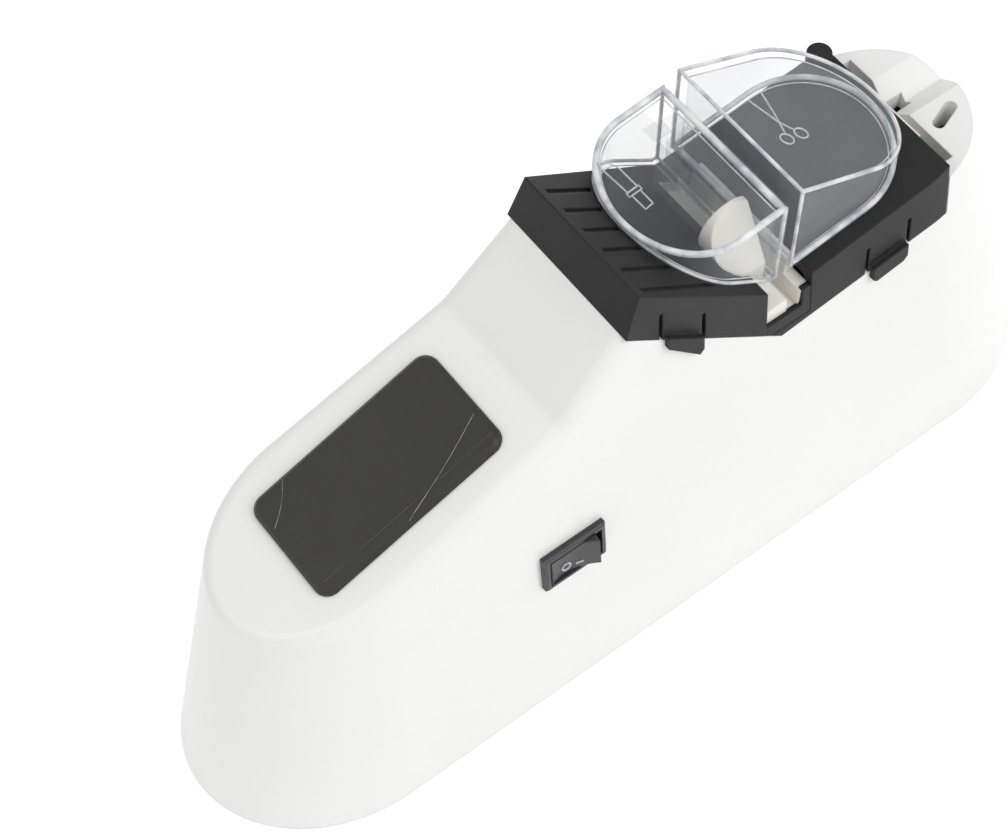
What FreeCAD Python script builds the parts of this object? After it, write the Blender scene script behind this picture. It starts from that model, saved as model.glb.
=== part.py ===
import FreeCAD
import Part
import math
import os

V = FreeCAD.Vector

# Electric knife sharpener, millimetres. +X runs from the rounded nose to the rear,
# +Z is up, the origin is on the table under the middle of the housing.

# Housing
LENGTH = 216.0
BASE_HALF = 27.6
DRAFT = 5.7
NOSE_LEAN = 11.0
TAIL_LEAN = 17.3
END_ROUND = 1.2
FOOT_H = 1.5
WALL = 2.6
RIM = 1.6
COVER_T = 2.4
FIT = 0.15
FORM_TOP = 118.0

# Side profile: deck, step face, V-shaped seat of the cap and the rear lobes
DECK_SLOPE = 20.0
DECK_END_X, DECK_END_Z = -31.3, 87.5
CAP_X0, SEAT_Z0 = -16.1, 103.6
VALLEY_X, SEAT_V = 21.5, 73.9
CAP_X1, SEAT_Z1 = 63.7, 77.8
CAP_GAP = 0.3
REAR_TOP = 88.0
REAR_ROOF = 80.0
STEP_FILLET = 3.0
CREASE_FILLET = 6.0

# Cap
PEAK_X, PEAK_Z = -12.9, 113.5
VALLEY_Z = 86.6
CAP_END_Z = 91.5
CAP_WALL = 2.2
LIP_T, LIP_H = 1.2, 3.0
NOTCH_X0, NOTCH_X1, NOTCH_Z = 17.5, 28.5, 76.0
WINDOW_Y = 14.0
GROOVES = 6
GROOVE_PITCH, GROOVE_Y0 = 5.4, -14.7
GROOVE_W, GROOVE_D = 1.1, 0.8
TABS = ((-3.1, 10.0), (48.2, 10.5))
TAB_H, TAB_OUT, TAB_SLOT = 2.6, 1.3, 0.9
TAB_INSET, TAB_RISE = 0.8, 1.6
BAND_X0, BAND_X1 = CAP_X0 + 9.0, CAP_X1 - 5.0

# Clear guards
SLOT_X, SLOT_W = 24.4, 3.0
GUARD_WALL = 1.6
GUARD_Y, GUARD_HALF = 2.4, 18.0
KNIFE_TURN_X, KNIFE_END_X = 11.7, -2.3
KNIFE_TOP, KNIFE_FALL = 109.5, 0.12
SCISSOR_TURN_X, SCISSOR_END_X = 45.0, 62.0
SCISSOR_TOP, SCISSOR_FALL = 111.5, 0.45

# White blade guide
CHEEK_X, CHEEK_Z, CHEEK_R = 17.3, 98.3, 6.4
CHEEK_Y0, CHEEK_Y1 = -13.6, -5.5

# Deck plate
PLATE_L, PLATE_W, PLATE_T, PLATE_SUNK = 44.4, 24.6, 2.9, 1.3
PLATE_X, PLATE_R, PLATE_BEVEL = -59.0, 3.0, 0.8

# Drive: a double-ended motor with a wheel at each end
AXIS_Z = 66.0
SHAFT_R, SHAFT_PLAY = 1.5, 0.03
WHEEL_R, WHEEL_W = 14.0, 4.0
REAR_WHEEL_X, REAR_WHEEL_R = 70.6, 13.0
MOTOR_X0, MOTOR_X1, MOTOR_R = 33.0, 60.0, 12.2
MOTOR_SKIN = 1.0
BELL_L = 5.0
CRADLE_X = (MOTOR_X0 + 3.5, MOTOR_X1 - 8.5)
CRADLE_T, CRADLE_HALF = 3.0, 18.0
STRAP_T, STRAP_SCREW_Y, STRAP_SCREW_R = 0.8, 15.5, 1.1

# Switch and power socket
SWITCH_X, SWITCH_Z = -31.0, 48.7
BEZEL_L, BEZEL_H, BEZEL_T = 15.0, 10.5, 1.6
SLEEVE_L, SLEEVE_H = 13.6, 9.4
MOUTH_L, MOUTH_H = 12.6, 8.2
ROCKER_TILT, PIVOT_Y = 10.0, 2.0
ROCKER_END, ROCKER_MIDDLE = 2.5, 1.2
JACK_X, JACK_Z = -31.0, 22.0

# Fasteners and feet
SCREW_X, SCREW_Y = 66.0, 19.0
FOOT_X, FOOT_Y, FOOT_R = 78.0, 12.0, 5.5


def tan(deg):
    return math.tan(math.radians(deg))


def box(x0, x1, y0, y1, z0, z1):
    return Part.makeBox(x1 - x0, y1 - y0, z1 - z0, V(x0, y0, z0))


def bar(r, x0, x1, y=0.0, z=AXIS_Z):
    return Part.makeCylinder(r, x1 - x0, V(x0, y, z), V(1, 0, 0))


def post(r, x, y, z0, z1):
    return Part.makeCylinder(r, z1 - z0, V(x, y, z0), V(0, 0, 1))


def prism(points, y0=-45.0, y1=45.0):
    """A side profile, given as (x, z) points, drawn across the object."""
    ring = [V(x, y0, z) for x, z in points]
    face = Part.Face(Part.makePolygon(ring + ring[:1]))
    return face.extrude(V(0, y1 - y0, 0))


def half_width(z, inset=0.0):
    return BASE_HALF - (z - FOOT_H) * tan(DRAFT) - inset


def half_ellipse(tip, side, centre):
    """Half an ellipse that bulges to its tip and ends at the side point and its mirror."""
    along, across = (tip - centre).Length, (side - centre).Length
    if along >= across:
        return Part.ArcOfEllipse(Part.Ellipse(tip, side, centre), -math.pi / 2, math.pi / 2).toShape()
    return Part.ArcOfEllipse(Part.Ellipse(side, tip, centre), 0.0, math.pi).toShape()


def outline(z, inset):
    """The housing's plan at one height: straight sides, and ends a little longer than half circles."""
    h = half_width(z, inset)
    reach = h * END_ROUND
    nose = -LENGTH / 2 + (z - FOOT_H) * tan(NOSE_LEAN) + inset
    rear = LENGTH / 2 - (z - FOOT_H) * tan(TAIL_LEAN) - inset
    a, b = nose + reach, rear - reach
    return Part.Wire([
        Part.LineSegment(V(a, -h, z), V(b, -h, z)).toShape(),
        half_ellipse(V(rear, 0, z), V(b, h, z), V(b, 0, z)),
        Part.LineSegment(V(b, h, z), V(a, h, z)).toShape(),
        half_ellipse(V(nose, 0, z), V(a, -h, z), V(a, 0, z))])


def form(inset=0.0, z0=FOOT_H, z1=FORM_TOP):
    """The drafted body that the housing, cover and cap are all cut from."""
    return Part.makeLoft([outline(z0, inset), outline(z1, inset)], True, True)


def deck_z(x):
    return DECK_END_Z + (x - DECK_END_X) * tan(DECK_SLOPE)


def seat_line(shift=0.0):
    """The V-shaped joint line between the housing and the cap."""
    return [(CAP_X0, SEAT_Z0 + shift), (VALLEY_X, SEAT_V + shift), (CAP_X1, SEAT_Z1 + shift)]


def cap_top_line():
    return [(PEAK_X, PEAK_Z), (VALLEY_X, VALLEY_Z), (CAP_X1, CAP_END_Z)]


def housing_profile():
    out = LENGTH
    rear_x = CAP_X1 + CAP_GAP
    return ([(-out, 0.0), (-out, deck_z(-out)), (DECK_END_X, DECK_END_Z)] + seat_line()
            + [(rear_x, SEAT_Z1), (rear_x, REAR_TOP), (out, REAR_TOP), (out, 0.0)])


def soften(shape, radius, wanted):
    """Round the edges that the test function picks."""
    edges = [e for e in shape.Edges if wanted(e)]
    return shape.makeFillet(radius, edges)


def on_top_rim(edge):
    """True for the edges where the deck and the step face meet the side walls and the nose."""
    points = edge.discretize(5)
    if edge.Length < 2.0 or any(p.x > CAP_X0 + 0.05 for p in points):
        return False
    on_side = all(abs(abs(p.y) - half_width(p.z)) < 0.05 for p in points)
    on_nose = all(abs(p.z - deck_z(p.x)) < 0.05 and p.x < DECK_END_X for p in points)
    low = min(p.z for p in points)
    return (on_side or on_nose) and low > FOOT_H + 10.0


def on_step_crease(edge):
    """True for the inner corner where the deck turns up into the step face."""
    return all(abs(p.x - DECK_END_X) < 0.05 and abs(p.z - DECK_END_Z) < 0.05 for p in edge.discretize(3))


def on_near_wall(shape, x, z):
    """Stand a shape, modelled with +Y into the wall, on the drafted near wall."""
    moved = shape.copy()
    moved.rotate(V(0, 0, 0), V(1, 0, 0), -DRAFT)
    moved.translate(V(x, -half_width(z), z))
    return moved


def on_far_wall(shape, x, z):
    turned = shape.copy()
    turned.rotate(V(0, 0, 0), V(0, 0, 1), 180)
    turned.rotate(V(0, 0, 0), V(1, 0, 0), DRAFT)
    turned.translate(V(x, half_width(z), z))
    return turned


def on_deck(shape, x):
    """Lay a shape, modelled flat at z = 0, on the sloping deck."""
    laid = shape.copy()
    laid.rotate(V(0, 0, 0), V(0, 1, 0), -DECK_SLOPE)
    laid.translate(V(x, 0, deck_z(x)))
    return laid


def rounded_plate(length, width, height, radius):
    plate = box(-length / 2, length / 2, -width / 2, width / 2, 0, height)
    return plate.makeFillet(radius, [e for e in plate.Edges if abs(e.tangentAt(0).z) > 0.9])


def screw_places():
    return [(sx * SCREW_X, sy * SCREW_Y) for sx in (-1, 1) for sy in (-1, 1)]


def foot_places():
    return [(sx * FOOT_X, sy * FOOT_Y) for sx in (-1, 1) for sy in (-1, 1)]


def rear_cuts():
    """The trough, the V rest, the wheel slit and the oblong hole of the tool grinder."""
    x0 = CAP_X1 + CAP_GAP
    floor = REAR_ROOF + WALL
    trough = box(x0 - 1, x0 + 3.8, -15.0, 15.0, floor, 120)
    trough = trough.cut(box(x0 - 2, x0 + 2.3, -7.5, 3.0, floor - 1, REAR_TOP + 1.5))
    rest_face = Part.Face(Part.makePolygon([
        V(x0 + 3, -3.5, REAR_TOP + 1), V(x0 + 3, 3.0, REAR_TOP - 5.0),
        V(x0 + 3, 9.5, REAR_TOP + 1), V(x0 + 3, -3.5, REAR_TOP + 1)]))
    rest = rest_face.extrude(V(60, 0, 0))
    slit = box(x0 + 3.4, x0 + 8.6, 1.4, 4.6, REAR_ROOF - 2, REAR_TOP)
    hole = rounded_plate(7.5, 2.6, 14.0, 1.25)
    hole.rotate(V(0, 0, 0), V(0, 0, 1), 20)
    hole.translate(V(x0 + 9.5, -6.5, REAR_ROOF - 2))
    return [trough, rest, slit, hole]


def upper_housing():
    outer = form().common(prism(housing_profile()))
    outer = soften(outer, CREASE_FILLET, on_step_crease)
    outer = soften(outer, STEP_FILLET, on_top_rim)
    profile = Part.Face(Part.makePolygon([V(x, 0, z) for x, z in housing_profile() + housing_profile()[:1]]))
    inner = profile.makeOffset2D(-WALL, 2)
    inner.translate(V(0, -45, 0))
    cavity = form(WALL, FOOT_H - 1).common(inner.extrude(V(0, 90, 0)))
    cavity = cavity.cut(box(CAP_X1 - 0.5, LENGTH, -40, 40, REAR_ROOF, 120))
    shell = outer.cut(cavity)
    shell = shell.cut(form(WALL).common(box(CAP_X0 + 4.5, CAP_X1 - 3.0, -40, 40, 60, 120)))
    shell = shell.cut(form(WALL, FOOT_H - 1).common(box(-LENGTH, LENGTH, -40, 40, FOOT_H - 1, 12)))
    ledge_outer = form(WALL - 0.5, FOOT_H + COVER_T, FOOT_H + COVER_T + 3.0)
    ledge_inner = form(WALL + 1.4, FOOT_H + COVER_T, FOOT_H + COVER_T + 3.0)
    shell = shell.fuse(ledge_outer.cut(ledge_inner))
    for x, y in screw_places():
        shell = shell.fuse(post(3.6, x, y, FOOT_H + COVER_T, 42).common(form(1.0)))
    shell = shell.cut(form(RIM, FOOT_H - 1, FOOT_H + COVER_T))
    for cutter in rear_cuts():
        shell = shell.cut(cutter)
    for x, y in screw_places():
        shell = shell.cut(post(1.45, x, y, FOOT_H, 20))
    shell = shell.cut(on_deck(rounded_plate(PLATE_L + FIT, PLATE_W + FIT, 9, PLATE_R), PLATE_X)
                      .translated(V(0, 0, -PLATE_SUNK)))
    shell = shell.cut(on_near_wall(switch_block(SLEEVE_L, SLEEVE_H, -3, 6), SWITCH_X, SWITCH_Z))
    shell = shell.cut(on_far_wall(Part.makeCylinder(4.0, 9, V(0, -3, 0), V(0, 1, 0)), JACK_X, JACK_Z))
    return shell.removeSplitter()


def base_cover():
    """The floor plate, with the moulded cradle that carries the motor."""
    top = FOOT_H + COVER_T
    plate = form(RIM + FIT, FOOT_H, top)
    x0, x1 = CRADLE_X[0], CRADLE_X[1] + CRADLE_T
    for x in CRADLE_X:
        web = box(x, x + CRADLE_T, -CRADLE_HALF, CRADLE_HALF, top - 0.5, AXIS_Z)
        web = web.cut(bar(MOTOR_R, x - 1, x + 4))
        plate = plate.fuse(web.cut(box(x - 1, x + 4, -9, 9, 16, 40)))
    plate = plate.fuse(box(x0, x1, -1.5, 1.5, top - 0.5, 16))
    for y in (-CRADLE_HALF, CRADLE_HALF - CRADLE_T):
        plate = plate.fuse(box(x0, x1, y, y + CRADLE_T, top - 0.5, 46))
    for x, y in screw_places():
        plate = plate.cut(post(1.7, x, y, 0, 10)).cut(post(3.0, x, y, 0, FOOT_H + 1.2))
    for x, y in foot_places():
        plate = plate.cut(post(FOOT_R, x, y, 0, FOOT_H + 1.0))
    for x, y in strap_screw_places():
        plate = plate.cut(post(STRAP_SCREW_R, x, y, AXIS_Z - 8, AXIS_Z + 1))
    return plate.removeSplitter()


def housing_screws():
    screws = []
    for x, y in screw_places():
        head = post(2.8, x, y, FOOT_H, FOOT_H + 1.2)
        shank = post(1.45, x, y, FOOT_H + 1.2, 19)
        cross = box(x - 1.4, x + 1.4, y - 0.3, y + 0.3, 0, FOOT_H + 0.7)
        cross = cross.fuse(box(x - 0.3, x + 0.3, y - 1.4, y + 1.4, 0, FOOT_H + 0.7))
        screws.append(head.fuse(shank).cut(cross))
    return Part.makeCompound(screws)


def rubber_feet():
    feet = []
    for x, y in foot_places():
        foot = post(FOOT_R, x, y, 0, FOOT_H + 1.0)
        feet.append(foot.makeChamfer(0.5, [e for e in foot.Edges if abs(e.BoundBox.ZMax) < 0.01]))
    return Part.makeCompound(feet)


def deck_plate():
    plate = rounded_plate(PLATE_L, PLATE_W, PLATE_T, PLATE_R)
    plate = plate.makeChamfer(PLATE_BEVEL, [e for e in plate.Edges if e.BoundBox.ZMin > PLATE_T - 0.01])
    return on_deck(plate, PLATE_X).translated(V(0, 0, -PLATE_SUNK))


def cap_blank():
    return form().common(prism(cap_top_line() + seat_line()[::-1]))


def tab_cuts_and_lips(side):
    """Snap tabs along the cap's lower edge: two slots each and a lip over the housing."""
    cuts, lips = [], []
    y0, y1 = sorted((0, side * 40))
    for centre, width in TABS:
        for x in (centre - width / 2, centre + width / 2):
            z = seat_z(x)
            y = side * half_width(z)
            cuts.append(box(x - TAB_SLOT / 2, x + TAB_SLOT / 2, y - 1.4, y + 1.4, z - 4, z + 7.5))
        xa, xb = centre - width / 2 + TAB_INSET, centre + width / 2 - TAB_INSET
        za, zb = seat_z(xa), seat_z(xb)
        corner = 1.0
        lip = prism([(xa, za - TAB_H + corner), (xa + corner, za - TAB_H), (xb - corner, zb - TAB_H),
                     (xb, zb - TAB_H + corner), (xb, zb + TAB_RISE), (xa, za + TAB_RISE)], y0, y1)
        root = prism([(xa, za + 0.1), (xb, zb + 0.1), (xb, zb + TAB_RISE), (xa, za + TAB_RISE)], y0, y1)
        lips.append(lip.common(form(-TAB_OUT).cut(form(-0.15)))
                    .fuse(root.common(form(-TAB_OUT).cut(form(1.0)))))
    return cuts, lips


def seat_z(x):
    (xa, za), (xb, zb), (xc, zc) = seat_line()
    if x < xb:
        return za + (zb - za) * (x - xa) / (xb - xa)
    return zb + (zc - zb) * (x - xb) / (xc - xb)


def cap_surface_z(x):
    (xa, za), (xb, zb), (xc, zc) = cap_top_line()
    if x < xb:
        return za + (zb - za) * (x - xa) / (xb - xa)
    return zb + (zc - zb) * (x - xb) / (xc - xb)


def cap_grooves():
    """Grip grooves that run down the front slope to the knife guard."""
    cuts = []
    x0, x1 = PEAK_X + 1.8, VALLEY_X - 6.0
    ring = [(x0, cap_surface_z(x0) - GROOVE_D), (x1, cap_surface_z(x1) - GROOVE_D),
            (x1, cap_surface_z(x1) + 3), (x0, cap_surface_z(x0) + 3)]
    footprint = column(knife_plan, -0.6)
    for i in range(GROOVES):
        y = GROOVE_Y0 + i * GROOVE_PITCH
        cuts.append(prism(ring, y - GROOVE_W / 2, y + GROOVE_W / 2).cut(footprint))
    return cuts


def top_cap():
    cap = cap_blank()
    (ax, az), (bx, bz), (cx, cz) = seat_line(-1.0)
    hollow = [(ax + CAP_WALL, az), (PEAK_X + CAP_WALL, PEAK_Z - CAP_WALL * 2.2),
              (VALLEY_X, VALLEY_Z - CAP_WALL * 1.3), (CAP_X1 - CAP_WALL, CAP_END_Z - CAP_WALL * 1.1),
              (CAP_X1 - CAP_WALL, cz), (bx, bz)]
    cap = cap.cut(form(CAP_WALL).common(prism(hollow)))
    band = prism(seat_line(LIP_H) + seat_line(0.0)[::-1]).common(box(BAND_X0, BAND_X1, -40, 40, 60, 120))
    cap = cap.fuse(form(CAP_WALL - 0.3).cut(form(WALL + 0.2 + LIP_T)).common(band))
    band = prism(seat_line(0.5) + seat_line(-LIP_H)[::-1]).common(box(BAND_X0, BAND_X1, -40, 40, 60, 120))
    cap = cap.fuse(form(WALL + 0.2).cut(form(WALL + 0.2 + LIP_T)).common(band))
    for side in (-1, 1):
        cuts, lips = tab_cuts_and_lips(side)
        for cutter in cuts:
            cap = cap.cut(cutter)
        for lip in lips:
            cap = cap.fuse(lip)
    for cutter in cap_grooves():
        cap = cap.cut(cutter)
    cap = cap.cut(box(NOTCH_X0, NOTCH_X1, -40, WINDOW_Y, NOTCH_Z, 120))
    cap = cap.cut(box(NOTCH_X0, NOTCH_X1, -WINDOW_Y, WINDOW_Y, 60, 120))
    ear = post(2.6, CAP_X1 - 3.0, half_width(CAP_END_Z) - 1.6, CAP_END_Z - 4, CAP_END_Z + 2.0)
    cap = cap.fuse(ear)
    return cap.removeSplitter()


def under_cap_surface():
    """Everything below the cap's top surface, to trim what stands on it."""
    line = cap_top_line()
    (ax, az), (bx, bz), (cx, cz) = line
    left = (ax - 30, az - 30 * (bz - az) / (bx - ax))
    right = (cx + 30, cz + 30 * (cz - bz) / (cx - bx))
    return prism([left, (bx, bz), right, (right[0], 20), (left[0], 20)])


def guard_plan(slot_x, turn_x, end_x, inset, z):
    """A guard's plan: flat along the slot, straight sides, and half an ellipse as its end."""
    inward = inset if end_x > slot_x else -inset
    half = GUARD_HALF - inset
    near, far = GUARD_Y - half, GUARD_Y + half
    face_x = slot_x + inward
    return Part.Wire([
        Part.LineSegment(V(turn_x, near, z), V(face_x, near, z)).toShape(),
        Part.LineSegment(V(face_x, near, z), V(face_x, far, z)).toShape(),
        Part.LineSegment(V(face_x, far, z), V(turn_x, far, z)).toShape(),
        half_ellipse(V(end_x - inward, GUARD_Y, z), V(turn_x, far, z), V(turn_x, GUARD_Y, z))])


def knife_plan(inset, z):
    return guard_plan(SLOT_X - SLOT_W / 2, KNIFE_TURN_X, KNIFE_END_X, inset, z)


def scissor_plan(inset, z):
    return guard_plan(SLOT_X + SLOT_W / 2, SCISSOR_TURN_X, SCISSOR_END_X, inset, z)


def column(plan, inset):
    return Part.Face(plan(inset, 60.0)).extrude(V(0, 0, 70))


def knife_top(drop):
    x = SLOT_X - SLOT_W / 2
    return prism([(x + 5, KNIFE_TOP - drop + 5 * KNIFE_FALL), (x - 60, KNIFE_TOP - drop - 60 * KNIFE_FALL),
                  (x - 60, 150), (x + 5, 150)])


def scissor_top(drop):
    x = SLOT_X + SLOT_W / 2
    return prism([(x - 5, SCISSOR_TOP - drop + 5 * SCISSOR_FALL),
                  (x + 60, SCISSOR_TOP - drop - 60 * SCISSOR_FALL), (x + 60, 150), (x - 5, 150)])


def knife_hollow():
    return column(knife_plan, GUARD_WALL).cut(knife_top(GUARD_WALL))


def knife_guard():
    shell = column(knife_plan, 0.0).cut(knife_top(0.0)).cut(knife_hollow())
    x = SLOT_X - SLOT_W / 2
    ribs = box(x - 8, x - 0.5, 11.0, 12.2, 60, 120).fuse(box(x - 8, x - 6.8, -3.0, 12.2, 60, 120))
    ribs = ribs.fuse(box(x - 6, x - 0.5, 15.0, 20.0, KNIFE_TOP - 8, 120))
    ribs = ribs.common(column(knife_plan, 0.4)).cut(knife_top(0.4))
    return shell.fuse(ribs).cut(under_cap_surface()).removeSplitter()


def scissors_guard():
    shell = column(scissor_plan, 0.0).cut(scissor_top(0.0))
    shell = shell.cut(column(scissor_plan, GUARD_WALL).cut(scissor_top(GUARD_WALL)))
    return shell.cut(under_cap_surface()).removeSplitter()


def blade_guide():
    """White insert in the cap: a funnel over the wheel and a round-topped cheek."""
    bottom = AXIS_Z + 8.0
    block = box(NOTCH_X0, NOTCH_X1, -WINDOW_Y, WINDOW_Y - 0.3, bottom, 100)
    block = block.cut(above_cap_surface())
    near_end = -half_width(AXIS_Z + WHEEL_R) + 0.8
    block = block.fuse(box(NOTCH_X0, NOTCH_X1, near_end, -WINDOW_Y + 1, NOTCH_Z + 2.0, 83.5))
    floor = AXIS_Z + WHEEL_R - 1.0
    funnel = prism([(SLOT_X - 1.3, floor), (SLOT_X - 1.3, floor + 2), (SLOT_X - 2.8, 95),
                    (SLOT_X + 2.8, 95), (SLOT_X + 1.3, floor + 2), (SLOT_X + 1.3, floor)])
    wheel_room = bar(WHEEL_R + 1.0, SLOT_X - WHEEL_W / 2 - 0.6, SLOT_X + WHEEL_W / 2 + 0.6)
    block = block.cut(funnel).cut(wheel_room)
    disc = Part.makeCylinder(CHEEK_R, CHEEK_Y1 - CHEEK_Y0, V(CHEEK_X, CHEEK_Y0, CHEEK_Z), V(0, 1, 0))
    cheek = disc.fuse(prism([(CHEEK_X - CHEEK_R, CHEEK_Z - 1.0), (CHEEK_X + CHEEK_R, CHEEK_Z - 1.0),
                             (SLOT_X - 1.8, 84), (CHEEK_X + 1.7, 84)], CHEEK_Y0, CHEEK_Y1))
    slope = Part.Face(Part.makePolygon([V(0, -5.5, 106), V(0, -16.5, 86), V(0, -16.5, 130),
                                        V(0, -5.5, 130), V(0, -5.5, 106)])).extrude(V(60, 0, 0))
    cheek = cheek.cut(slope).common(column(knife_plan, GUARD_WALL + 0.2)).cut(under_cap_surface())
    return block.fuse(cheek).removeSplitter()


def above_cap_surface():
    return box(-60, 100, -40, 40, 60, 130).cut(under_cap_surface())


def switch_block(length, height, y0, y1):
    return box(-length / 2, length / 2, y0, y1, -height / 2, height / 2)


def switch_bezel():
    flange = switch_block(BEZEL_L, BEZEL_H, -BEZEL_T, 0)
    flange = flange.makeChamfer(0.5, [e for e in flange.Edges if e.BoundBox.YMax < -BEZEL_T + 0.01])
    ring = flange.fuse(switch_block(SLEEVE_L, SLEEVE_H, 0, 4.0))
    ring = ring.cut(switch_block(MOUTH_L, MOUTH_H, -5, 5))
    ring = ring.cut(Part.makeCylinder(0.85, MOUTH_H + 0.8, V(0, PIVOT_Y, -MOUTH_H / 2 - 0.4), V(0, 0, 1)))
    return on_near_wall(ring, SWITCH_X, SWITCH_Z)


def switch_rocker():
    """A see-saw with a hollowed face, shown switched off: one end flush, the other proud."""
    half = MOUTH_L / 2 - 0.9
    z = -MOUTH_H / 2 + 0.2
    face = Part.Face(Part.Wire([
        Part.Arc(V(-half, -ROCKER_END, z), V(0, -ROCKER_MIDDLE, z), V(half, -ROCKER_END, z)).toShape(),
        Part.LineSegment(V(half, -ROCKER_END, z), V(half, 2.6, z)).toShape(),
        Part.LineSegment(V(half, 2.6, z), V(-half, 2.6, z)).toShape(),
        Part.LineSegment(V(-half, 2.6, z), V(-half, -ROCKER_END, z)).toShape()]))
    body = face.extrude(V(0, 0, MOUTH_H - 0.4))
    pin = Part.makeCylinder(0.8, MOUTH_H + 0.6, V(0, PIVOT_Y, -MOUTH_H / 2 - 0.3), V(0, 0, 1))
    body = body.fuse(pin)
    body.rotate(V(0, PIVOT_Y, 0), V(0, 0, 1), -ROCKER_TILT)
    return on_near_wall(body, SWITCH_X, SWITCH_Z)


def switch_body():
    body = switch_block(SLEEVE_L, SLEEVE_H, 4.0, 14.0)
    body = body.cut(switch_block(MOUTH_L - 1, MOUTH_H - 1, 3, 5.0))
    return on_near_wall(body, SWITCH_X, SWITCH_Z)


def switch_terminals():
    blades = [box(x - 0.4, x + 0.4, 14.0, 20.5, -2.4, 2.4) for x in (-4.0, 4.0)]
    return Part.makeCompound([on_near_wall(b, SWITCH_X, SWITCH_Z) for b in blades])


def dc_jack():
    flange = Part.makeCylinder(5.2, 1.2, V(0, -1.2, 0), V(0, 1, 0))
    barrel = Part.makeCylinder(4.0, 12.0, V(0, 0, 0), V(0, 1, 0))
    hole = Part.makeCylinder(2.8, 9.7, V(0, -2, 0), V(0, 1, 0))
    return on_far_wall(flange.fuse(barrel).cut(hole), JACK_X, JACK_Z)


def dc_jack_pin():
    pin = Part.makeCylinder(1.05, 7.0, V(0, 0.7, 0), V(0, 1, 0))
    return on_far_wall(pin, JACK_X, JACK_Z)


def motor_can():
    can = bar(MOTOR_R, MOTOR_X0, MOTOR_X1 - BELL_L)
    can = can.cut(bar(MOTOR_R - MOTOR_SKIN, MOTOR_X0 + MOTOR_SKIN, MOTOR_X1))
    can = can.fuse(bar(5.0, MOTOR_X0 - 1.6, MOTOR_X0 + 0.2))
    return can.cut(bar(3.0, MOTOR_X0 - 5, MOTOR_X0 + 5)).removeSplitter()


def motor_end_bell():
    bell = bar(MOTOR_R, MOTOR_X1 - BELL_L, MOTOR_X1)
    bell = bell.fuse(bar(4.5, MOTOR_X1 - 0.2, MOTOR_X1 + 1.2))
    bell = bell.cut(bar(MOTOR_R - 1.6, MOTOR_X1 - BELL_L - 1, MOTOR_X1 - 1.8))
    return bell.cut(bar(3.0, MOTOR_X1 - 5, MOTOR_X1 + 5)).removeSplitter()


def motor_bushings():
    rings = []
    for x0, x1 in ((MOTOR_X0 - 1.6, MOTOR_X0 + MOTOR_SKIN), (MOTOR_X1 - 1.8, MOTOR_X1 + 1.2)):
        rings.append(bar(3.0, x0, x1).cut(bar(SHAFT_R + SHAFT_PLAY, x0 - 1, x1 + 1)))
    return Part.makeCompound(rings)


def motor_terminals():
    return Part.makeCompound([box(MOTOR_X1, MOTOR_X1 + 3.2, y - 1.4, y + 1.4, AXIS_Z - 9.4, AXIS_Z - 8.8)
                              for y in (-6.0, 6.0)])


def motor_magnets():
    """Two arc magnets on the inside of the can."""
    x0, x1 = MOTOR_X0 + 5.0, MOTOR_X1 - BELL_L - 3.0
    ring = bar(MOTOR_R - MOTOR_SKIN, x0, x1).cut(bar(9.0, x0 - 1, x1 + 1))
    ring = ring.cut(box(x0 - 1, x1 + 1, -4.5, 4.5, AXIS_Z - 20, AXIS_Z + 20))
    return Part.makeCompound(ring.Solids)


def motor_armature():
    """A three-pole core: round stack with three winding slots."""
    x0, x1 = MOTOR_X0 + 5.5, MOTOR_X1 - BELL_L - 4.0
    core = bar(8.4, x0, x1)
    for k in range(3):
        slot = box(x0 - 1, x1 + 1, -0.9, 0.9, AXIS_Z + 5.6, AXIS_Z + 9)
        slot = slot.fuse(bar(2.3, x0 - 1, x1 + 1, 0.0, AXIS_Z + 4.9))
        slot.rotate(V(0, 0, AXIS_Z), V(1, 0, 0), 120 * k)
        core = core.cut(slot)
    return core.cut(bar(SHAFT_R, x0 - 1, x1 + 1))


def motor_commutator():
    x0 = MOTOR_X1 - BELL_L - 3.5
    return bar(2.9, x0, x0 + 4.5).cut(bar(SHAFT_R, x0 - 1, x0 + 6))


def motor_shaft():
    shaft = bar(SHAFT_R, SLOT_X - 7.5, REAR_WHEEL_X + 6.5)
    return shaft.makeChamfer(0.4, [shaft.Edges[0], shaft.Edges[2]])


def wheel(x, radius, bevel):
    """An abrasive ring with bevelled rims, turned about the shaft."""
    w = WHEEL_W / 2
    ring = [(x - w, 5.0), (x - w, radius - bevel), (x - w + bevel * 0.5, radius),
            (x + w - bevel * 0.5, radius), (x + w, radius - bevel), (x + w, 5.0)]
    pts = [V(px, 0, AXIS_Z + pr) for px, pr in ring]
    face = Part.Face(Part.makePolygon(pts + pts[:1]))
    return face.revolve(V(0, 0, AXIS_Z), V(1, 0, 0), 360)


def hub(x, length, flange_x):
    core = bar(5.0, x - length / 2, x + length / 2)
    core = core.fuse(bar(7.0, flange_x, flange_x + 1.0))
    return core.cut(bar(SHAFT_R, x - 20, x + 20))


def grinding_wheel():
    return wheel(SLOT_X, WHEEL_R, 1.8)


def wheel_hub():
    return hub(SLOT_X, WHEEL_W, SLOT_X + WHEEL_W / 2)


def wheel_nut():
    x0 = SLOT_X - WHEEL_W / 2
    washer = bar(6.5, x0 - 0.8, x0)
    points = [V(x0 - 3.6, 3.6 * math.cos(k * math.pi / 3), AXIS_Z + 3.6 * math.sin(k * math.pi / 3))
              for k in range(6)]
    nut = Part.Face(Part.makePolygon(points + points[:1])).extrude(V(2.8, 0, 0))
    return washer.fuse(nut).cut(bar(SHAFT_R, x0 - 10, x0 + 1))


def rear_wheel():
    return wheel(REAR_WHEEL_X, REAR_WHEEL_R, 1.2)


def rear_wheel_hub():
    return hub(REAR_WHEEL_X, WHEEL_W, REAR_WHEEL_X - WHEEL_W / 2 - 1.0)


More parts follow.
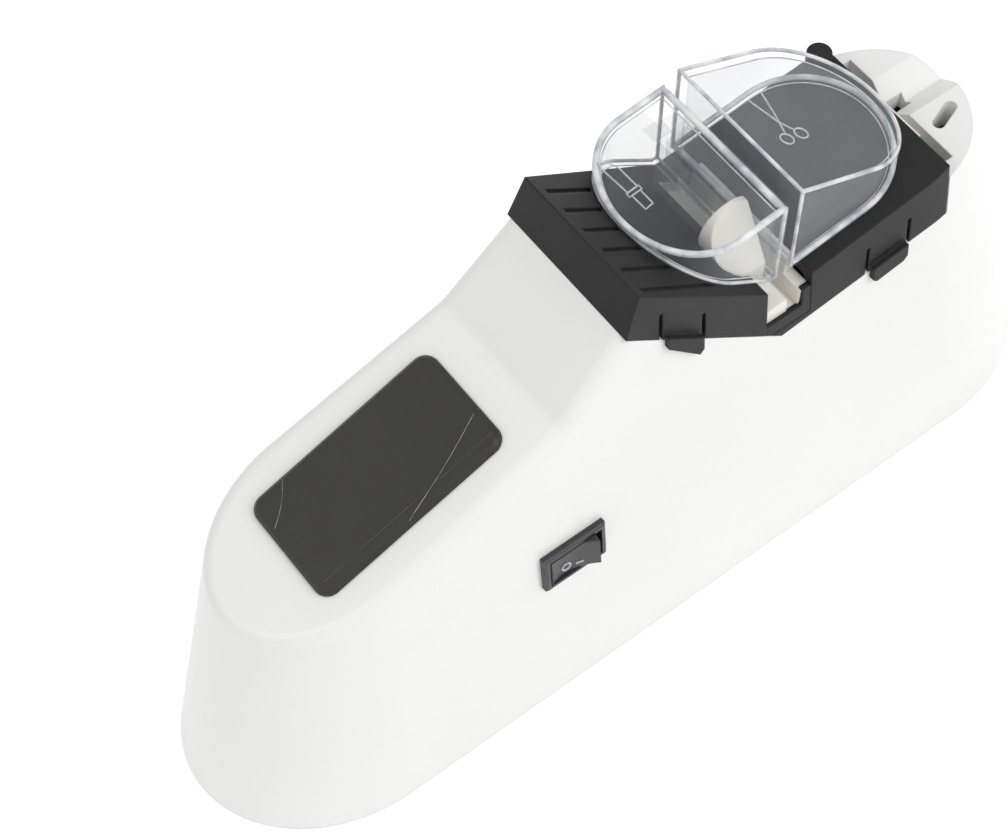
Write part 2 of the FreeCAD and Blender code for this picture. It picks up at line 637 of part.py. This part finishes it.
def rear_wheel_nut():
    x0 = REAR_WHEEL_X + WHEEL_W / 2
    washer = bar(6.5, x0, x0 + 0.8)
    points = [V(x0 + 0.8, 3.6 * math.cos(k * math.pi / 3), AXIS_Z + 3.6 * math.sin(k * math.pi / 3))
              for k in range(6)]
    nut = Part.Face(Part.makePolygon(points + points[:1])).extrude(V(2.8, 0, 0))
    return washer.fuse(nut).cut(bar(SHAFT_R, x0 - 1, x0 + 10))


def strap_screw_places():
    return [(x + CRADLE_T / 2, side * STRAP_SCREW_Y) for x in CRADLE_X for side in (-1, 1)]


def motor_straps():
    """Steel half-rings that hold the motor down in its cradle."""
    straps = []
    for x in CRADLE_X:
        ring = bar(MOTOR_R + STRAP_T, x, x + CRADLE_T).cut(box(x - 1, x + 4, -20, 20, 40, AXIS_Z))
        ring = ring.fuse(box(x, x + CRADLE_T, -CRADLE_HALF, CRADLE_HALF, AXIS_Z, AXIS_Z + STRAP_T))
        ring = ring.cut(bar(MOTOR_R, x - 1, x + 4))
        for px, py in strap_screw_places():
            ring = ring.cut(post(STRAP_SCREW_R, px, py, AXIS_Z - 1, AXIS_Z + 3))
        straps.append(ring)
    return Part.makeCompound(straps)


def strap_screws():
    screws = []
    z = AXIS_Z + STRAP_T
    for x, y in strap_screw_places():
        shank = post(STRAP_SCREW_R, x, y, AXIS_Z - 7, z)
        head = post(1.9, x, y, z, z + 1.4)
        slot = box(x - 1.5, x + 1.5, y - 0.25, y + 0.25, z + 0.8, z + 2)
        screws.append(shank.fuse(head).cut(slot))
    return Part.makeCompound(screws)


PARTS = (
    upper_housing, base_cover, housing_screws, rubber_feet, deck_plate,
    top_cap, knife_guard, scissors_guard, blade_guide,
    switch_bezel, switch_rocker, switch_body, switch_terminals, dc_jack, dc_jack_pin,
    motor_can, motor_end_bell, motor_bushings, motor_terminals, motor_magnets,
    motor_armature, motor_commutator, motor_shaft, motor_straps, strap_screws,
    grinding_wheel, wheel_hub, wheel_nut, rear_wheel, rear_wheel_hub, rear_wheel_nut)


def main():
    os.makedirs("parts", exist_ok=True)
    for make in PARTS:
        shape = make()
        shape.exportStep("parts/%s.step" % make.__name__)
        box_ = shape.BoundBox
        print("%-18s solids %d valid %s volume %.0f  x %.1f..%.1f y %.1f..%.1f z %.1f..%.1f" % (
            make.__name__, len(shape.Solids), shape.isValid(), shape.Volume, box_.XMin, box_.XMax,
            box_.YMin, box_.YMax, box_.ZMin, box_.ZMax))


main()
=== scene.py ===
import math

import bpy
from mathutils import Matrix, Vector


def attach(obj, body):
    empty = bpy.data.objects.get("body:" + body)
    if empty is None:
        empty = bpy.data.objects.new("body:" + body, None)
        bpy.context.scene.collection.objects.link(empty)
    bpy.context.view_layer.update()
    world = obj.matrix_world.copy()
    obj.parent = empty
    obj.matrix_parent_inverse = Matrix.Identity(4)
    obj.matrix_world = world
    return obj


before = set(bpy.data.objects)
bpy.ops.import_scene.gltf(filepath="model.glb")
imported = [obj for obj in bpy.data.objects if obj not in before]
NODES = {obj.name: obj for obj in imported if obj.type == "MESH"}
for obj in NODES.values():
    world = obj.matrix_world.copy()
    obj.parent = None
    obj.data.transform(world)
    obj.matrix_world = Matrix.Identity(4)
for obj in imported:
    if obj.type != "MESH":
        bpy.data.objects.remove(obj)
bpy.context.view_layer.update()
MM = 0.001

# Camera: the photograph's viewing angle in degrees and its place in metres, fitted to the housing's corners
VIEW_AZIMUTH, VIEW_ELEVATION = -37.24, 59.01
VIEW_DISTANCE = 0.50836
VIEW_TARGET = Vector((-0.02058, 0.01248, 0.0415))
PHOTO_W = 1008
FOCAL_PIXELS = 2500.0
SENSOR_MM = 36.0

# Studio: even fill from all round, a key lamp over the switch side and a weaker one over the nose
FILL = 0.56
LAMP_TARGET = Vector((0.0, 0.0, 0.05))
KEY_LAMP = {"azimuth": 20.0, "elevation": 50.0, "distance": 1.2, "size": 0.9, "power": 5.8}
SIDE_LAMP = {"azimuth": -100.0, "elevation": 45.0, "distance": 1.4, "size": 1.0, "power": 2.6}
FLOOR_REACH, FLOOR_GLOW = 3.0, 0.45

# The cap's V-shaped top: X and Z of its corners, in millimetres as in the part
PEAK, VALLEY, CAP_END = (-12.9, 113.5), (21.5, 86.6), (63.7, 91.5)

# The clear guards: flat faces along the slot, straight sides and half an ellipse as the end.
# TOP is the roof's height at the slot and FALL its drop for each millimetre away from it.
GUARD_Y, GUARD_HALF, GUARD_WALL = 2.4, 18.0, 1.6
KNIFE_SLOT_X, KNIFE_TURN_X, KNIFE_END_X = 22.9, 11.7, -2.3
KNIFE_TOP, KNIFE_FALL = 109.5, 0.12
SCISSOR_SLOT_X, SCISSOR_TURN_X, SCISSOR_END_X = 25.9, 45.0, 62.0
SCISSOR_TOP, SCISSOR_FALL = 111.5, 0.45

# Radii of the painted highlight lines along the guards' inner edges and upright corners
INNER_LINE, CORNER_LINE = 0.14, 0.4

# The switch on the near wall, which leans inwards by its draft
SWITCH_AT = Vector((-31.0, -22.889, 48.7))
DRAFT = math.radians(5.7)
INWARD = Vector((0.0, math.cos(DRAFT), -math.sin(DRAFT)))
UPWARD = Vector((0.0, math.sin(DRAFT), math.cos(DRAFT)))


def link(thing):
    bpy.context.scene.collection.objects.link(thing)
    return thing


def aim(thing, target, azimuth, elevation, distance):
    """Stands a camera or lamp off a target, turned to it; azimuth 0 is on the switch side."""
    a, e = math.radians(azimuth), math.radians(elevation)
    away = Vector((math.sin(a) * math.cos(e), -math.cos(a) * math.cos(e), math.sin(e)))
    thing.location = target + away * distance
    thing.rotation_euler = away.to_track_quat("Z", "Y").to_euler()


def add_camera():
    data = bpy.data.cameras.new("camera")
    data.sensor_width = SENSOR_MM
    data.lens = FOCAL_PIXELS / PHOTO_W * SENSOR_MM
    data.clip_start, data.clip_end = 0.05, 20.0
    camera = link(bpy.data.objects.new("camera", data))
    aim(camera, VIEW_TARGET, VIEW_AZIMUTH, VIEW_ELEVATION, VIEW_DISTANCE)
    bpy.context.scene.camera = camera


def linear(hex_colour):
    """An sRGB hex colour as the linear RGBA that shaders take."""
    channels = [int(hex_colour[i:i + 2], 16) / 255.0 for i in (1, 3, 5)]
    values = [c / 12.92 if c <= 0.04045 else ((c + 0.055) / 1.055) ** 2.4 for c in channels]
    return (*values, 1.0)


def empty_tree(owner):
    """The node tree of a material or world, with nothing in it."""
    owner.use_nodes = True
    owner.node_tree.nodes.clear()
    return owner.node_tree


def add_node(tree, kind, settings=None, links=None, **inputs):
    """One shader node: its properties, what feeds its sockets and the numbers on them."""
    node = tree.nodes.new(kind)
    for name, value in (settings or {}).items():
        setattr(node, name, value)
    for name, value in inputs.items():
        node.inputs[name.replace("_", " ")].default_value = value
    for name, source in (links or {}).items():
        tree.links.new(source, node.inputs[name])
    return node


def speckle(tree, place, size_mm, detail=2.0, stretch=(1.0, 1.0, 1.0)):
    """Noise whose blobs are about one real size across.

    A stretch below 1 draws them out along that axis, and 0.1 makes them ten times as long.
    """
    spread = add_node(tree, "ShaderNodeVectorMath", {"operation": "MULTIPLY"}, {0: place})
    spread.inputs[1].default_value = [s / (size_mm * MM) for s in stretch]
    noise = add_node(tree, "ShaderNodeTexNoise", links={"Vector": spread.outputs[0]},
                     Scale=1.0, Detail=detail, Roughness=0.55)
    return noise.outputs["Fac"]


def new_finish(name, dark, pale, clouds, shine, patches, span=(0.35, 0.65), grain=None,
               depth_mm=0.0, edge_mm=0.0, **inputs):
    """A material with two tones in clouds, more and less shine in patches, and a relief of grain.

    clouds, patches and grain say how each pattern's speckle is drawn. edge_mm lets sharp
    edges catch light as if they were rounded by that radius.
    """
    material = bpy.data.materials.new(name)
    tree = empty_tree(material)
    shader = add_node(tree, "ShaderNodeBsdfPrincipled", **inputs)
    add_node(tree, "ShaderNodeOutputMaterial", links={"Surface": shader.outputs["BSDF"]})
    place = add_node(tree, "ShaderNodeTexCoord").outputs["Object"]

    tones = add_node(tree, "ShaderNodeValToRGB", links={"Fac": speckle(tree, place, **clouds)})
    first, last = tones.color_ramp.elements
    first.position, last.position = span
    first.color, last.color = linear(dark), linear(pale)
    tree.links.new(tones.outputs["Color"], shader.inputs["Base Color"])

    # not clamped, because a flat patch at a limit has an outline that shows
    rough = add_node(tree, "ShaderNodeMapRange", {"clamp": False},
                     {"Value": speckle(tree, place, **patches)},
                     From_Min=0.25, From_Max=0.75, To_Min=shine[0], To_Max=shine[1])
    tree.links.new(rough.outputs["Result"], shader.inputs["Roughness"])

    if grain:
        relief = add_node(tree, "ShaderNodeBump", links={"Height": speckle(tree, place, **grain)},
                          Strength=1.0, Distance=depth_mm * MM)
        tree.links.new(relief.outputs["Normal"], shader.inputs["Normal"])
        if edge_mm:
            rounded = add_node(tree, "ShaderNodeBevel", {"samples": 6}, Radius=edge_mm * MM)
            tree.links.new(rounded.outputs["Normal"], relief.inputs["Normal"])
    return material


def moulded(name, dark, pale, shine, grain_mm, depth_mm, cloud_mm=45.0, edge_mm=0.25, **inputs):
    """Injection-moulded plastic: slow drift of tone, patches of more or less shine, even grain."""
    clouds, patches = {"size_mm": cloud_mm}, {"size_mm": cloud_mm / 3}
    return new_finish(name, dark, pale, clouds, shine, patches, span=(0.1, 0.9),
                      grain={"size_mm": grain_mm}, depth_mm=depth_mm, edge_mm=edge_mm, **inputs)


def bare_metal(name, dark, pale, shine, line_mm, stretch):
    """Metal whose surface was worked in one direction, or around a turned axis."""
    clouds = {"size_mm": 3.0, "detail": 3.0}
    lines = {"size_mm": line_mm, "detail": 3.0, "stretch": stretch}
    return new_finish(name, dark, pale, clouds, shine, lines, grain=lines, depth_mm=0.004, Metallic=1.0)


def fine_line(name, dark, pale, shine, cloud_mm, patch_mm, span=(0.35, 0.65), **inputs):
    """A line too fine for grain, whose tone and shine vary along it."""
    clouds, patches = {"size_mm": cloud_mm, "detail": 3.0}, {"size_mm": patch_mm}
    return new_finish(name, dark, pale, clouds, shine, patches, span, **inputs)


def gloss_white_abs():
    # ABS moulded in a polished tool: bright soft white, broad highlights, faint orange peel and sink
    return moulded("gloss_white_abs", dark="#F0F0ED", pale="#F5F5F4", shine=(0.29, 0.31),
                   grain_mm=7.0, depth_mm=0.01, edge_mm=0.5, IOR=1.52)


def textured_white_abs():
    # ABS from a spark-eroded tool, under the housing: flatter, greyer, its grain drawn at 0.8 mm to show
    return moulded("textured_white_abs", dark="#DDDDD9", pale="#E6E6E3", shine=(0.5, 0.62),
                   grain_mm=0.8, depth_mm=0.03, IOR=1.52)


def textured_black_abs():
    # black ABS with a fine etched grain, drawn at 0.7 mm so that it shows: deep black, soft sheen on edges
    return moulded("textured_black_abs", dark="#171718", pale="#1F1F20", shine=(0.55, 0.6),
                   grain_mm=0.7, depth_mm=0.022, edge_mm=0.6, IOR=1.52, Specular_IOR_Level=0.28)


def satin_black_acrylic():
    # black acrylic plate with a satin face, its grain drawn coarse to show: warm near-black, dull reflection
    return moulded("satin_black_acrylic", dark="#242320", pale="#2A2925", shine=(0.4, 0.52),
                   grain_mm=0.8, depth_mm=0.008, cloud_mm=20.0, edge_mm=0.5, IOR=1.49,
                   Specular_IOR_Level=0.42)


def natural_acetal():
    # acetal in its own colour: waxy warm white, slightly translucent, low gloss
    return moulded("natural_acetal", dark="#EFECE4", pale="#F6F4EF", shine=(0.3, 0.42),
                   grain_mm=1.2, depth_mm=0.01, cloud_mm=15.0, edge_mm=0.4, IOR=1.48,
                   Subsurface_Weight=0.25, Subsurface_Radius=(0.0012, 0.001, 0.0008),
                   Subsurface_Scale=1.0)


def moulded_nylon():
    # glass-filled nylon of a small switch: dark grey, eggshell, fine flow grain
    return moulded("moulded_nylon", dark="#2A2A2D", pale="#333336", shine=(0.36, 0.48),
                   grain_mm=0.4, depth_mm=0.012, cloud_mm=8.0, IOR=1.53, Specular_IOR_Level=0.45)


def moulded_rubber():
    # nitrile rubber: nearly black and dull, with dust-pale patches
    return moulded("moulded_rubber", dark="#262525", pale="#3A3938", shine=(0.75, 0.9),
                   grain_mm=0.6, depth_mm=0.05, cloud_mm=4.0, IOR=1.52)


def pressed_ferrite():
    # pressed and fired ferrite: charcoal, matt, faintly granular
    return moulded("pressed_ferrite", dark="#2A2A2C", pale="#38383A", shine=(0.6, 0.8),
                   grain_mm=0.3, depth_mm=0.02, cloud_mm=3.0, IOR=1.5)


def clear_polycarbonate():
    # clear polycarbonate, polished: a breath of haze face-on, and walls that whiten where seen edge-on
    material = new_finish("clear_polycarbonate", dark="#C4C8CE", pale="#D8DBE0",
                          clouds={"size_mm": 12.0}, shine=(0.04, 0.14),
                          patches={"size_mm": 6.0, "detail": 4.0}, IOR=1.58)
    tree = material.node_tree
    edge_on = add_node(tree, "ShaderNodeLayerWeight", Blend=0.5).outputs["Facing"]
    haze = add_node(tree, "ShaderNodeMapRange", links={"Value": edge_on}, From_Min=0.1, From_Max=0.95,
                    To_Min=0.04, To_Max=0.24)
    tree.links.new(haze.outputs["Result"], tree.nodes["Principled BSDF"].inputs["Alpha"])
    return material


def painted_highlight_polycarbonate_edge():
    # painted highlight on the rounded edges of the clear mouldings: near-white lines that stand in for the
    # light those edges gather
    return fine_line("painted_highlight_polycarbonate_edge", dark="#BCC1CA", pale="#FFFFFF", shine=(0.08, 0.25),
                     cloud_mm=5.0, patch_mm=2.0, span=(0.35, 0.6), IOR=1.58, Alpha=0.86)


def etched_polycarbonate():
    # lines engraved in the clear covers: frosted, so they scatter light and read as pale strokes
    return fine_line("etched_polycarbonate", dark="#C9CBD2", pale="#EDEEF2", shine=(0.55, 0.75),
                     cloud_mm=0.8, patch_mm=0.5, IOR=1.58, Alpha=0.62)


def scratched_acrylic():
    # fine scratches in the black plate: thin, broken, pale
    return fine_line("scratched_acrylic", dark="#5A5954", pale="#A9A8A2", shine=(0.5, 0.7),
                     cloud_mm=3.0, patch_mm=1.0, IOR=1.49)


def chamfer_highlight_acrylic():
    # painted highlight along the plate's near edge, where its chamfer catches light: a soft grey line,
    # barely paler than the face
    return fine_line("chamfer_highlight_acrylic", dark="#3A3935", pale="#5F5E59", shine=(0.45, 0.6),
                     cloud_mm=4.0, patch_mm=1.0, IOR=1.49)


def pad_printed_white():
    # white ink pad-printed on the rocker: slightly grey, thin enough to break up at its edge
    return fine_line("pad_printed_white", dark="#9C9DA0", pale="#D6D7DA", shine=(0.45, 0.6),
                     cloud_mm=0.3, patch_mm=0.4, IOR=1.5)


def zinc_plated_steel():
    # bright zinc on stamped and turned steel: cool grey, soft glints, rolling lines drawn coarse to show
    return bare_metal("zinc_plated_steel", dark="#A9ABAE", pale="#C8CACD", shine=(0.22, 0.4),
                      line_mm=0.25, stretch=(0.08, 1.0, 1.0))


def rolled_brass():
    # brass strip, as rolled: yellow, slightly tarnished in patches
    return bare_metal("rolled_brass", dark="#B58A45", pale="#D9B566", shine=(0.2, 0.38),
                      line_mm=0.3, stretch=(1.0, 1.0, 0.1))


def sintered_bronze():
    # oil-filled sintered bronze: brown, open-pored and dull
    return bare_metal("sintered_bronze", dark="#7B5836", pale="#A47E52", shine=(0.45, 0.65),
                      line_mm=0.2, stretch=(1.0, 1.0, 1.0))


def laminated_steel():
    # a stack of punched sheets: dark grey with a fine line across at every sheet
    return bare_metal("laminated_steel", dark="#5E5F61", pale="#86878A", shine=(0.35, 0.6),
                      line_mm=0.5, stretch=(1.0, 0.02, 0.02))


def bonded_aluminium_oxide():
    # pink aluminium oxide grit in a fired bond: open, sparkling grains of about 0.3 mm
    grit = {"size_mm": 0.3, "detail": 4.0}
    return new_finish("bonded_aluminium_oxide", dark="#7E5148", pale="#D8B6AA", clouds=grit,
                      shine=(0.95, 0.6), patches=grit, grain=grit, depth_mm=0.12, IOR=1.6)


FINISHES = {
    gloss_white_abs: ("upper_housing",),
    textured_white_abs: ("base_cover",),
    textured_black_abs: ("top_cap",),
    satin_black_acrylic: ("deck_plate",),
    natural_acetal: ("blade_guide", "wheel_hub", "rear_wheel_hub", "motor_end_bell"),
    moulded_nylon: ("switch_bezel", "switch_rocker", "switch_body", "dc_jack"),
    moulded_rubber: ("rubber_feet",),
    clear_polycarbonate: ("knife_guard", "scissors_guard"),
    zinc_plated_steel: ("housing_screws", "motor_can", "motor_straps", "strap_screws", "motor_shaft",
                        "wheel_nut", "rear_wheel_nut"),
    rolled_brass: ("switch_terminals", "dc_jack_pin", "motor_terminals", "motor_commutator"),
    sintered_bronze: ("motor_bushings",),
    laminated_steel: ("motor_armature",),
    pressed_ferrite: ("motor_magnets",),
    bonded_aluminium_oxide: ("grinding_wheel", "rear_wheel"),
}


def dress_nodes():
    for make, names in FINISHES.items():
        material = make()
        for name in names:
            NODES[name].data.materials.clear()
            NODES[name].data.materials.append(material)


def cap_surface(x):
    """Height of the cap's V-shaped top at one place along the object."""
    (xa, za), (xb, zb) = (PEAK, VALLEY) if x < VALLEY[0] else (VALLEY, CAP_END)
    return za + (zb - za) * (x - xa) / (xb - xa)


def knife_top(x):
    """Height of the knife guard's roof, which falls away from the slot."""
    return KNIFE_TOP - KNIFE_FALL * (KNIFE_SLOT_X - x)


def scissor_top(x):
    """Height of the scissors guard's roof, which falls away from the slot."""
    return SCISSOR_TOP - SCISSOR_FALL * (x - SCISSOR_SLOT_X)


def circle(x, y, radius, steps=24):
    turns = [2 * math.pi * i / steps for i in range(steps)]
    return [(x + radius * math.cos(a), y + radius * math.sin(a)) for a in turns]


def guard_plan(slot_x, turn_x, end_x, inset, steps=40):
    """Points around a guard, from its near slot corner round the end to its far slot corner."""
    half = GUARD_HALF - inset
    inward = inset if end_x > slot_x else -inset
    reach = end_x - inward - turn_x
    points = [(slot_x + inward, GUARD_Y - half)]
    for i in range(steps + 1):
        a = -math.pi / 2 + math.pi * i / steps
        points.append((turn_x + reach * math.cos(a), GUARD_Y + half * math.sin(a)))
    points.append((slot_x + inward, GUARD_Y + half))
    return points


def divided(points, longest):
    """The same line with extra points, so that it follows a bent surface."""
    result = [points[0]]
    for a, b in zip(points, points[1:]):
        count = max(1, math.ceil(math.dist(a, b) / longest))
        for i in range(1, count + 1):
            result.append(tuple(p + (q - p) * i / count for p, q in zip(a, b)))
    return result


def stroke(name, points, radius, material, body, cyclic=False):
    """A fine round line through points in millimetres, riding on a body."""
    curve = bpy.data.curves.new(name, "CURVE")
    curve.dimensions = "3D"
    curve.bevel_depth = radius * MM
    curve.bevel_resolution = 3
    curve.use_fill_caps = True
    spline = curve.splines.new("POLY")
    spline.points.add(len(points) - 1)
    for target, point in zip(spline.points, points):
        target.co = (*[v * MM for v in point], 1.0)
    spline.use_cyclic_u = cyclic
    curve.materials.append(material)
    piece = link(bpy.data.objects.new(name, curve))
    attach(piece, body)


def add_guard_edges(name, slot_x, turn_x, end_x, top, edge, rim, foot):
    """Painted highlights along one clear guard's rounded edges: its roof, its foot on the cap and its
    corners.
    """

    def around(inset):
        plan = guard_plan(slot_x, turn_x, end_x, inset)
        return divided(plan + plan[:1], longest=1.5)[:-1]

    def edge_roof(part, inset, radius):
        points = [(x, y, max(top(x) - inset, cap_surface(x) + radius)) for x, y in around(inset)]
        stroke(f"{name}_{part}", points, radius, edge, "cap", cyclic=True)

    def edge_foot(part, inset, radius):
        points = [(x, y, cap_surface(x) + radius) for x, y in around(inset)]
        stroke(f"{name}_{part}", points, radius, edge, "cap", cyclic=True)

    edge_roof("rim", rim, rim)
    edge_foot("foot", foot, foot)
    plan = guard_plan(slot_x, turn_x, end_x, CORNER_LINE)
    for side, (x, y) in (("near", plan[0]), ("far", plan[-1])):
        upright = [(x, y, cap_surface(x) + CORNER_LINE), (x, y, top(x) - CORNER_LINE)]
        stroke(f"{name}_{side}_corner", upright, CORNER_LINE, edge, "cap")
    edge_roof("inner_rim", GUARD_WALL, INNER_LINE)
    edge_foot("inner_foot", GUARD_WALL, INNER_LINE)


def add_etchings():
    """A line drawing of a knife and one of scissors, engraved in the two covers."""
    etched = etched_polycarbonate()
    line, proud = 0.17, 0.02
    blade = [(2.6, 14.6), (3.9, 13.6), (4.9, 11.2), (5.0, 5.9), (2.8, 5.9), (2.4, 12.6)]
    bolster = [(2.5, 5.9), (5.3, 5.9), (5.3, 4.9), (2.5, 4.9)]
    handle = [(3.0, 4.9), (4.9, 4.9), (4.9, 1.2), (3.1, 1.0)]
    left_shear = [(33.6, 8.2), (35.1, 1.6), (36.6, -1.2)]
    right_shear = [(37.8, 9.6), (35.9, 3.2), (34.2, -1.4)]
    left_ring, right_ring = (37.4, -2.5), (33.4, -2.9)
    ring_radius = 1.35

    def engrave(name, path, top):
        points = divided(path, longest=1.0)
        stroke(name, [(x, y, top(x) + proud) for x, y in points], line, etched, "cap")

    def closed(outline):
        return outline + outline[:1]

    engrave("etched_blade", closed(blade), knife_top)
    engrave("etched_bolster", closed(bolster), knife_top)
    engrave("etched_handle", closed(handle), knife_top)
    engrave("etched_left_shear", left_shear, scissor_top)
    engrave("etched_right_shear", right_shear, scissor_top)
    engrave("etched_left_ring", closed(circle(*left_ring, ring_radius)), scissor_top)
    engrave("etched_right_ring", closed(circle(*right_ring, ring_radius)), scissor_top)


def on_surface(node, origin, heading):
    """Where a line from a point, in millimetres, meets a node."""
    hit, place, _, _ = NODES[node].ray_cast(Vector(origin) * MM, Vector(heading).normalized())
    if not hit:
        raise ValueError(f"nothing of {node} at {origin}")
    return place / MM


def on_switch(along, depth, height):
    """A place on the switch: along the wall, into it and up it, from the switch's middle."""
    return SWITCH_AT + Vector((along, 0.0, 0.0)) + INWARD * depth + UPWARD * height


def add_rocker_marks():
    """A plain O and a dash, printed on the two halves of the rocker."""
    printed = pad_printed_white()
    line, proud, outside = 0.24, 0.03, -20.0
    o_along, o_height, o_radius = -2.2, -1.5, 0.95
    dash_along, dash_height, dash_step, dash_points = -0.1, -2.1, 0.2, 9

    def mark(name, path, cyclic):
        points = []
        for along, height in path:
            start = on_switch(along, outside, height)
            points.append(on_surface("switch_rocker", start, INWARD) - INWARD * proud)
        stroke(name, points, line, printed, "rocker", cyclic)

    mark("printed_o", circle(o_along, o_height, o_radius), cyclic=True)
    dash = [(dash_along + dash_step * i, dash_height) for i in range(dash_points)]
    mark("printed_dash", dash, cyclic=False)


def add_painted_gap_shade():
    """Painted shade: a dark line laid in the gap between the bezel and the rocker's pressed half."""
    left, top, face, line = -5.95, 3.75, -1.5, 0.2
    path = [(left, -top), (left, top), (-left / 3, top)]
    points = [on_switch(along, face, height) for along, height in path]
    # the dark rubber line stands in for the shade inside the gap
    stroke("rocker_gap_shade", points, line, bpy.data.materials["moulded_rubber"], "housing")


def add_scratches():
    """Hairline scratches across the corners of the deck plate, and a painted highlight along its near edge's
    chamfer.
    """
    scratched, chamfer_highlight = scratched_acrylic(), chamfer_highlight_acrylic()
    above = 130.0
    hairlines = (("front_scratch", scratched, (-73.0, 11.4), (-79.4, 4.9), 0.35, 0.07),
                 ("rear_scratch", scratched, (-39.2, -3.9), (-60.6, -11.8), 0.35, 0.07),
                 # the last line is a painted highlight on the plate's chamfer
                 ("deck_chamfer_highlight", chamfer_highlight, (-38.9, -9.7), (-78.6, -9.7), 0.0, 0.05))
    for name, material, start, end, bow, radius in hairlines:
        path = divided([start, end], longest=1.5)
        last = len(path) - 1
        points = []
        for i, (x, y) in enumerate(path):
            sag = bow * math.sin(math.pi * i / last)
            points.append(on_surface("deck_plate", (x + sag, y - sag, above), (0, 0, -1)))
        stroke(name, points, radius, material, "housing")


def add_notch_lip_and_shade():
    """The black lip under the blade notch and its rear cheek, flush with the cap's near wall; the cheek is
    cap wall and painted shade over the guide block.
    """
    # the cheek, from slot to right, covers the guide block where the notch opens into shade: partly painted
    # shade
    left, slot, right, low, lip, high = 17.6, 26.3, 28.4, 76.1, 79.4, 84.0
    outline = [(left, low), (right, low), (right, high), (slot, high), (slot, lip), (left, lip)]
    depth, sunk = 1.1, 0.05
    whole_wall_x, outside = 29.4, -60.0
    front, back = [], []
    for x, z in outline:
        wall = on_surface("top_cap", (whole_wall_x, outside, z), (0, 1, 0)).y + sunk
        front.append((x, wall, z))
        back.append((x, wall + depth, z))
    count = len(outline)
    sides = [(i, (i + 1) % count, count + (i + 1) % count, count + i) for i in range(count)]
    faces = [tuple(reversed(range(count))), tuple(range(count, 2 * count))] + sides
    mesh = bpy.data.meshes.new("notch_lip_and_shade")
    mesh.from_pydata([[v * MM for v in corner] for corner in front + back], [], faces)
    mesh.materials.append(bpy.data.materials["textured_black_abs"])
    piece = link(bpy.data.objects.new("notch_lip_and_shade", mesh))
    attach(piece, "cap")


def add_area_light(name, azimuth, elevation, distance, size, power):
    data = bpy.data.lights.new(name, "AREA")
    data.shape = "DISK"
    data.size = size
    data.energy = power
    lamp = link(bpy.data.objects.new(name, data))
    aim(lamp, LAMP_TARGET, azimuth, elevation, distance)


def seen_apart(tree, lighting, seen):
    """Joins two shaders: the light that a thing gives, and how it looks.

    It is looked at straight, in a glossy surface or through clear plastic.
    """
    rays = add_node(tree, "ShaderNodeLightPath").outputs
    straight = add_node(tree, "ShaderNodeMath", {"operation": "MAXIMUM"},
                        {0: rays["Is Camera Ray"], 1: rays["Is Transmission Ray"]})
    looks = add_node(tree, "ShaderNodeMath", {"operation": "MAXIMUM"},
                     {0: straight.outputs[0], 1: rays["Is Glossy Ray"]})
    mix = add_node(tree, "ShaderNodeMixShader", links={0: looks.outputs[0], 1: lighting, 2: seen})
    return mix.outputs[0]


def set_world():
    """Soft white light from all round, in front of a white backdrop."""
    world = bpy.data.worlds.new("studio")
    tree = empty_tree(world)
    fill = add_node(tree, "ShaderNodeBackground", Color=linear("#FFFFFF"), Strength=FILL)
    white = add_node(tree, "ShaderNodeBackground", Color=linear("#FFFFFF"), Strength=1.0)
    surface = seen_apart(tree, fill.outputs[0], white.outputs[0])
    add_node(tree, "ShaderNodeOutputWorld", links={"Surface": surface})
    bpy.context.scene.world = world


def white_paper():
    # matt white paper: even and shadow-taking, with a glow that keeps it as bright as the backdrop
    material = bpy.data.materials.new("white_paper")
    tree = empty_tree(material)
    paper = add_node(tree, "ShaderNodeBsdfDiffuse", Color=linear("#FBFBFB"))
    glow = add_node(tree, "ShaderNodeEmission", Color=linear("#FFFFFF"), Strength=FLOOR_GLOW)
    bright = add_node(tree, "ShaderNodeAddShader", links={0: paper.outputs[0], 1: glow.outputs[0]})
    surface = seen_apart(tree, paper.outputs[0], bright.outputs[0])
    add_node(tree, "ShaderNodeOutputMaterial", links={"Surface": surface})
    return material


def add_floor():
    mesh = bpy.data.meshes.new("floor")
    reach = FLOOR_REACH
    corners = [(-reach, -reach, 0), (reach, -reach, 0), (reach, reach, 0), (-reach, reach, 0)]
    mesh.from_pydata(corners, [], [(0, 1, 2, 3)])
    mesh.materials.append(white_paper())
    link(bpy.data.objects.new("floor", mesh))


add_camera()
bpy.context.scene.view_settings.view_transform = "Standard"
set_world()
add_floor()
add_area_light("key", **KEY_LAMP)
add_area_light("side", **SIDE_LAMP)
dress_nodes()
# near-white lines laid along the guards' edges are painted highlights
painted_edge_highlight = painted_highlight_polycarbonate_edge()
add_guard_edges("knife_guard", KNIFE_SLOT_X, KNIFE_TURN_X, KNIFE_END_X, knife_top, painted_edge_highlight,
                rim=0.7, foot=0.35)
add_guard_edges("scissors_guard", SCISSOR_SLOT_X, SCISSOR_TURN_X, SCISSOR_END_X, scissor_top, painted_edge_highlight,
                rim=0.4, foot=0.6)
add_etchings()
add_rocker_marks()
add_painted_gap_shade()
add_scratches()
add_notch_lip_and_shade()
